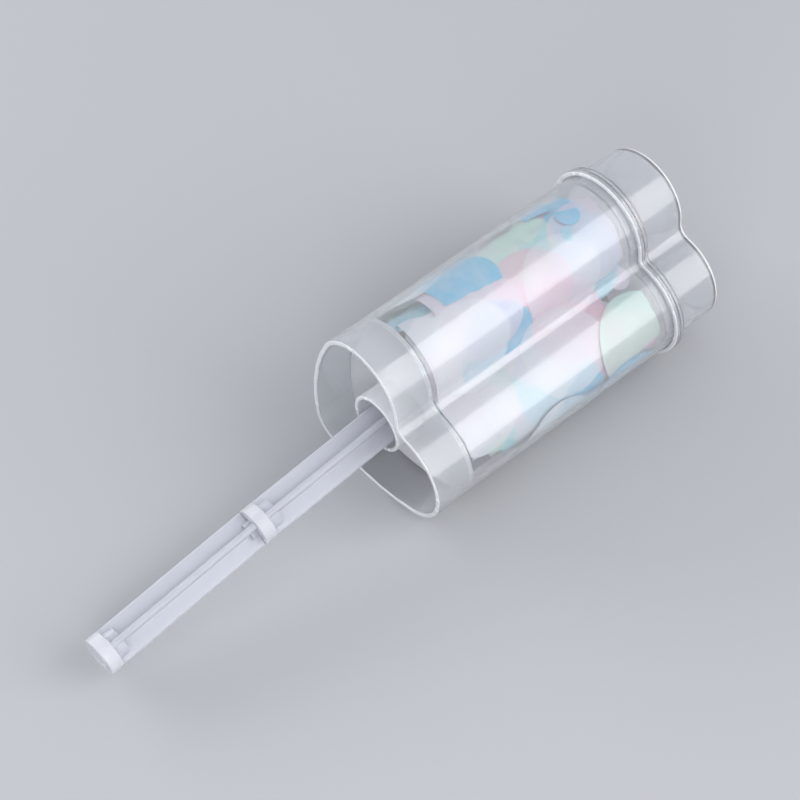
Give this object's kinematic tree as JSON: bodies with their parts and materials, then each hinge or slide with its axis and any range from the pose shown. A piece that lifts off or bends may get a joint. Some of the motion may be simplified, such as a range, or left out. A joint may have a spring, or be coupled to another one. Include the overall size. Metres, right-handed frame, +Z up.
{
  "type": "confetti push pop",
  "caption": "Clear heart-section confetti tube with a clipped cap, a loose heart plate on a cross-ribbed push stick and tissue discs between them.",
  "frame": {"origin": "middle of the foot of the bounding box, where the lying tube touches the ground", "axes": "+X along the tube from the stick's free end to the cap, +Y across it, +Z up; the tube lies on the middle of one flat side of its heart section"},
  "size_m": [0.1888, 0.0516, 0.0517],
  "materials": {
    "clear_plastic": "clear, polished",
    "milky_plastic": "milky, satin",
    "frosted_plastic": "frosted",
    "tissue_pink": "soft tissue",
    "tissue_sky": "soft tissue",
    "tissue_white": "soft tissue",
    "tissue_mint": "soft tissue",
    "tissue_ice": "soft tissue",
    "tissue_blush": "soft tissue"
  },
  "bodies": {
    "barrel": {"barrel": "clear_plastic", "tissue_wall_1_1": "tissue_pink", "tissue_wall_1_2": "tissue_blush", "tissue_wall_1_3": "tissue_ice", "tissue_wall_1_4": "tissue_mint", "tissue_wall_1_5": "tissue_white", "tissue_wall_1_6": "tissue_sky", "tissue_wall_1_7": "tissue_pink", "tissue_wall_1_8": "tissue_blush", "tissue_wall_2_1": "tissue_white", "tissue_wall_2_2": "tissue_sky", "tissue_wall_2_3": "tissue_pink", "tissue_wall_2_4": "tissue_blush", "tissue_wall_2_5": "tissue_ice", "tissue_wall_2_6": "tissue_mint", "tissue_wall_2_7": "tissue_white", "tissue_wall_2_8": "tissue_sky", "tissue_wall_3_1": "tissue_ice", "tissue_wall_3_2": "tissue_mint", "tissue_wall_3_3": "tissue_white", "tissue_wall_3_4": "tissue_sky", "tissue_wall_3_5": "tissue_pink", "tissue_wall_3_6": "tissue_blush", "tissue_wall_3_7": "tissue_ice", "tissue_wall_3_8": "tissue_mint", "tissue_wall_4_1": "tissue_pink", "tissue_wall_4_2": "tissue_blush", "tissue_wall_4_3": "tissue_ice", "tissue_wall_4_4": "tissue_mint", "tissue_wall_4_5": "tissue_white", "tissue_wall_4_6": "tissue_sky", "tissue_wall_4_7": "tissue_pink", "tissue_wall_4_8": "tissue_blush", "tissue_core_1": "tissue_sky", "tissue_core_2": "tissue_pink", "tissue_core_3": "tissue_blush", "tissue_core_4": "tissue_ice", "tissue_core_5": "tissue_mint", "tissue_core_6": "tissue_white", "tissue_core_7": "tissue_sky", "tissue_core_8": "tissue_pink", "tissue_core_9": "tissue_blush", "tissue_core_10": "tissue_ice", "tissue_core_11": "tissue_mint"},
    "pusher": {"pusher": "milky_plastic"},
    "stick": {"stick_inner_half": "frosted_plastic", "stick_outer_half": "frosted_plastic"},
    "cap": {"cap": "clear_plastic"}
  },
  "joints": [
    {"name": "pusher_slide", "type": "slide", "parent": "barrel", "child": "pusher", "axis": [0.9998, 0, 0.0212], "range_m": [0, 0.06], "deforming": ["tissue_wall_1_1", "tissue_wall_1_2", "tissue_wall_1_3", "tissue_wall_1_4", "tissue_wall_1_5", "tissue_wall_1_6", "tissue_wall_1_7", "tissue_wall_1_8", "tissue_wall_2_1", "tissue_wall_2_2", "tissue_wall_2_3", "tissue_wall_2_4", "tissue_wall_2_5", "tissue_wall_2_6", "tissue_wall_2_7", "tissue_wall_2_8", "tissue_wall_3_1", "tissue_wall_3_2", "tissue_wall_3_3", "tissue_wall_3_4", "tissue_wall_3_5", "tissue_wall_3_6", "tissue_wall_3_7", "tissue_wall_3_8", "tissue_wall_4_1", "tissue_wall_4_2", "tissue_wall_4_3", "tissue_wall_4_4", "tissue_wall_4_5", "tissue_wall_4_6", "tissue_wall_4_7", "tissue_wall_4_8", "tissue_core_1", "tissue_core_2", "tissue_core_3", "tissue_core_4", "tissue_core_5", "tissue_core_6", "tissue_core_7", "tissue_core_8", "tissue_core_9", "tissue_core_10", "tissue_core_11"]},
    {"name": "stick_rock", "type": "hinge", "parent": "pusher", "child": "stick", "pos_m": [0.00683, 0.00204, 0.02169], "axis": [0, 1, 0], "range_deg": [0, 12.6]},
    {"name": "cap_pull", "type": "slide", "parent": "barrel", "child": "cap", "axis": [0.9998, 0, 0.0212], "range_m": [0, 0.045]}
  ]
}
